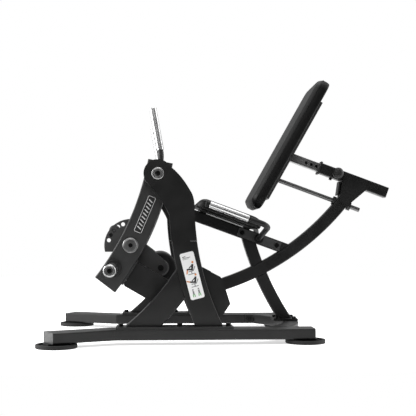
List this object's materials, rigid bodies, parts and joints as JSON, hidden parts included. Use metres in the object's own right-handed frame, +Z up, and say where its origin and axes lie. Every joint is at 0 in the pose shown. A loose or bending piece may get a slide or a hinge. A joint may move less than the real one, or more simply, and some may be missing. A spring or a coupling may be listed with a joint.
{
  "type": "leg extension machine",
  "caption": "Plate-loaded leg extension machine with curved lever arms, weight horns, an adjustable shin roller, a tilted seat and a sliding backrest.",
  "frame": {"origin": "on the floor under the centre of the bounding box", "axes": "+X towards the rear of the machine, behind the backrest; -Y on the side of the sector plate and the pull knobs; +Z up"},
  "size_m": [1.5802, 1.252, 1.1664],
  "materials": {
    "frame_paint": "satin",
    "arm_paint": "satin",
    "black_plastic": "satin",
    "rubber": "matte",
    "vinyl": "satin",
    "foam": "matte",
    "chrome": "polished",
    "dark_steel": "satin",
    "plated_steel": "satin",
    "bronze": "satin",
    "placard_white": "satin"
  },
  "bodies": {
    "frame": {"base_rail_left": "frame_paint", "base_rail_right": "frame_paint", "end_caps": "black_plastic", "foot_pads": "rubber", "foot_plinths": "black_plastic", "rear_cross_tube": "frame_paint", "bolting_flanges": "frame_paint", "aframe_left": "frame_paint", "aframe_right": "frame_paint", "head_plates": "frame_paint", "aframe_foot_plates": "frame_paint", "stop_boxes": "frame_paint", "stop_bumpers": "rubber", "cross_beam": "frame_paint", "main_beam": "frame_paint", "seat_beam": "frame_paint", "rear_posts": "frame_paint", "rear_foot_plate": "frame_paint", "sleeve_tube": "frame_paint", "sleeve_gussets": "frame_paint", "sleeve_bushes": "black_plastic", "guide_bushes": "black_plastic", "back_pin_housing": "dark_steel", "seat_pad": "vinyl", "seat_board": "frame_paint", "handle_plates": "dark_steel", "seat_handles": "frame_paint", "seat_grips": "chrome", "pivot_shafts": "chrome", "pivot_rings": "chrome", "placard": "placard_white", "frame_bolts": "dark_steel"},
    "arm": {"arm_left": "arm_paint", "arm_right": "arm_paint", "arm_caps": "arm_paint", "arm_stop_plates": "arm_paint", "arm_bushes": "bronze", "cross_shaft": "chrome", "arm_covers": "chrome", "weight_horns": "chrome", "horn_stops": "rubber", "top_handles": "arm_paint", "top_grips": "chrome", "sector_plate": "frame_paint", "badges": "black_plastic"},
    "roller_frame": {"roller_links": "frame_paint", "pin_lever": "frame_paint", "link_hub": "frame_paint", "roller_axle": "dark_steel"},
    "roller": {"roller_foam": "foam", "roller_core": "chrome"},
    "sector_pull": {"sector_pin": "chrome", "sector_knob": "black_plastic"},
    "back_pull": {"back_pin": "chrome", "back_knob": "black_plastic"},
    "backrest": {"back_pad": "vinyl", "back_board": "frame_paint", "back_post": "plated_steel", "guide_rod": "chrome", "back_bolts": "dark_steel"}
  },
  "joints": [
    {"name": "arm_swing", "type": "hinge", "parent": "frame", "child": "arm", "pos_m": [-0.296, 0, 0.717], "axis": [0, 1, 0], "range_deg": [0, 110]},
    {"name": "roller_adjust", "type": "hinge", "parent": "arm", "child": "roller_frame", "pos_m": [-0.411, 0, 0.4135], "axis": [0, 1, 0], "range_deg": [-28.2, 28.2]},
    {"name": "roller_spin", "type": "hinge", "parent": "roller_frame", "child": "roller", "pos_m": [-0.282, 0, 0.316], "axis": [0, 1, 0], "continuous": true},
    {"name": "sector_pin_pull", "type": "slide", "parent": "roller_frame", "child": "sector_pull", "axis": [0, 1, 0], "range_m": [0, 0.012], "stiffness_N_per_m": 800, "springref_m": -0.004},
    {"name": "back_pin_pull", "type": "slide", "parent": "frame", "child": "back_pull", "axis": [0, -1, 0], "range_m": [0, 0.012], "stiffness_N_per_m": 800, "springref_m": -0.004},
    {"name": "back_slide", "type": "slide", "parent": "frame", "child": "backrest", "axis": [0.9397, 0, -0.342], "range_m": [-0.025, 0.125]}
  ]
}
